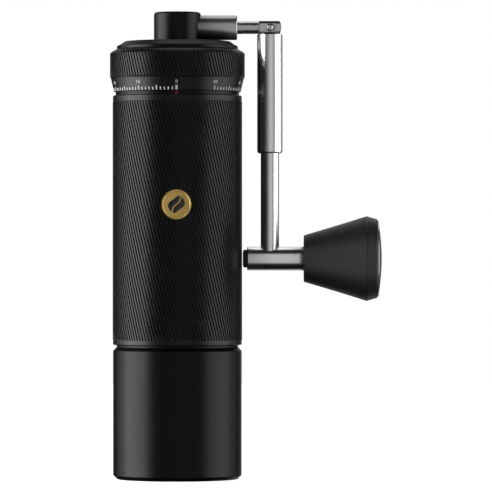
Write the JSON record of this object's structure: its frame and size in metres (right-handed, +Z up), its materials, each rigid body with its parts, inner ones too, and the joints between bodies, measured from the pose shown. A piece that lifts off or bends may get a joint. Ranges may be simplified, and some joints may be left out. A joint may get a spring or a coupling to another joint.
{
  "type": "hand crank coffee grinder",
  "caption": "Slim cylindrical hand coffee grinder with a knurled grip, grind dial, magnetic grounds cup and a folding side crank with a conical knob.",
  "frame": {"origin": "centre of the grounds cup's flat underside, on the grinding axis", "axes": "+Z up along the grinding axis, -Y towards the badge and the zero mark, +X along the crank arm"},
  "size_m": [0.1154, 0.0572, 0.1983],
  "materials": {
    "black_anodised": "black anodised, fine helical knurl, satin",
    "polished_black": "black anodised, polished smooth",
    "polished_steel": "stainless steel, mirror polished",
    "machined_steel": "turned stainless steel",
    "dark_fasteners": "black oxide",
    "spring_steel": "drawn spring wire",
    "burr_steel": "hardened and ground steel",
    "magnet": "nickel plated magnet",
    "brass_badge": "satin brass",
    "bronze": "turned bronze",
    "black_rubber": "matte black elastomer",
    "seal_rubber": "grey silicone",
    "red_mark": "dark red inlay",
    "matte_knob": "matte black, soft-touch"
  },
  "bodies": {
    "housing": {"body_sleeve": "black_anodised", "badge": "brass_badge", "grip_magnet": "magnet", "burr_carrier": "black_anodised", "carrier_magnets": "magnet", "outer_burr": "burr_steel", "burr_retainer": "machined_steel", "lower_bridge": "machined_steel", "bridge_screws": "dark_fasteners", "lower_bearing_shell": "machined_steel", "lower_bearing_rollers": "machined_steel", "top_frame": "black_anodised", "index_mark": "red_mark", "dial_retainer": "dark_fasteners", "click_balls": "machined_steel", "click_springs": "spring_steel", "preload_spring": "spring_steel"},
    "cup": {"grounds_cup": "polished_black", "cup_armature_ring": "machined_steel"},
    "dial": {"dial_ring": "polished_black", "click_ring": "machined_steel"},
    "adjuster": {"lift_spider": "bronze", "upper_bearing_outer": "machined_steel", "upper_bearing_balls": "machined_steel"},
    "shaft": {"main_shaft": "machined_steel", "inner_burr": "burr_steel", "burr_washer": "machined_steel", "burr_nut": "machined_steel", "spring_washer": "machined_steel", "spring_circlip": "dark_fasteners", "upper_bearing_inner": "machined_steel", "upper_circlip": "dark_fasteners"},
    "lid": {"lid_cap": "polished_black", "lid_seal": "seal_rubber", "lid_bush": "bronze"},
    "crank": {"crank_hub": "polished_black", "drive_socket": "machined_steel", "hub_clip": "dark_fasteners", "arm_collar": "polished_steel", "inner_arm": "polished_steel", "arm_set_screw": "dark_fasteners", "pivot_pin": "polished_steel"},
    "outer_arm": {"outer_rod": "polished_steel", "knob_spindle": "polished_steel", "rest_tip": "black_rubber", "knob_screw": "dark_fasteners", "knob_washer": "polished_steel"},
    "lock_sleeve": {"lock_sleeve": "polished_steel", "sleeve_ring": "black_rubber"},
    "knob": {"knob_shell": "matte_knob", "knob_ring": "polished_steel", "knob_cap": "matte_knob", "knob_bushes": "bronze"}
  },
  "joints": [
    {"name": "cup_pull", "type": "slide", "parent": "housing", "child": "cup", "axis": [0, 0, -1], "range_m": [0, 0.06]},
    {"name": "dial_turn", "type": "hinge", "parent": "housing", "child": "dial", "pos_m": [0, 0, 0.172], "axis": [0, 0, 1], "range_deg": [0, 324]},
    {"name": "burr_gap", "type": "slide", "parent": "housing", "child": "adjuster", "axis": [0, 0, -1], "range_m": [0, 0.00108], "deforming": ["preload_spring"]},
    {"name": "lid_lift", "type": "slide", "parent": "housing", "child": "lid", "axis": [0, 0, 1], "range_m": [0, 0.06]},
    {"name": "crank_turn", "type": "hinge", "parent": "lid", "child": "crank", "pos_m": [0, 0, 0.19], "axis": [0, 0, 1], "continuous": true},
    {"name": "shaft_turn", "type": "hinge", "parent": "adjuster", "child": "shaft", "pos_m": [0, 0, 0.12], "axis": [0, 0, 1], "continuous": true},
    {"name": "arm_fold", "type": "hinge", "parent": "crank", "child": "outer_arm", "pos_m": [0.0393, 0, 0.1917], "axis": [0, -1, 0], "range_deg": [0, 90]},
    {"name": "sleeve_slide", "type": "slide", "parent": "outer_arm", "child": "lock_sleeve", "axis": [0, 0, -1], "range_m": [0, 0.039]},
    {"name": "knob_spin", "type": "hinge", "parent": "outer_arm", "child": "knob", "pos_m": [0.07, 0, 0.0936], "axis": [1, 0, 0], "continuous": true}
  ],
  "couplings": [
    {"joint": "burr_gap", "follows": "dial_turn", "m_per_rad": 0.00019099},
    {"joint": "shaft_turn", "follows": "crank_turn", "ratio": 1}
  ]
}
